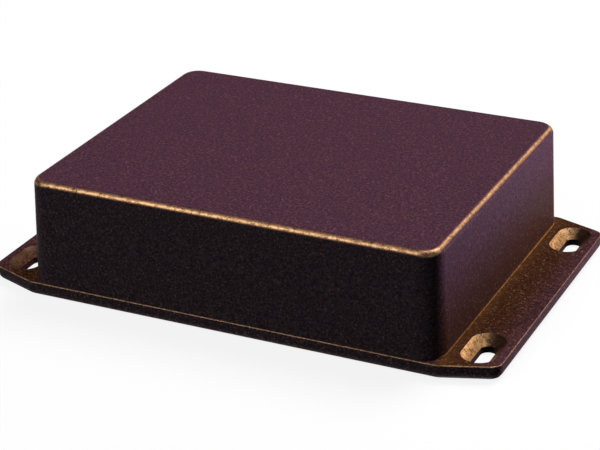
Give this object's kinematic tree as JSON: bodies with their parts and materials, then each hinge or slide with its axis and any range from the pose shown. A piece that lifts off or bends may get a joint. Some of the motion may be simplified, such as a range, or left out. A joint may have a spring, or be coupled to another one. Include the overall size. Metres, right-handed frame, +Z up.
{
  "type": "flanged die cast enclosure",
  "caption": "Shallow rectangular die cast box with drafted walls, closed from below by a screwed lid whose ends reach out as flanges with countersunk mounting slots; dark speckled powder coat.",
  "frame": {"origin": "centre of the lid's flat underside", "axes": "+X along the span from flange to flange, +Y across the width, +Z up from the lid to the body's top"},
  "size_m": [0.1484, 0.0944, 0.034],
  "materials": {
    "coat": "dark aubergine-black powder coat with fine metallic speckle, slight texture",
    "screw_steel": "plain stainless steel"
  },
  "bodies": {
    "root": {"body": "coat", "flanged_lid": "coat", "lid_screw_front_left": "screw_steel", "lid_screw_front_right": "screw_steel", "lid_screw_back_left": "screw_steel", "lid_screw_back_right": "screw_steel"}
  },
  "joints": []
}
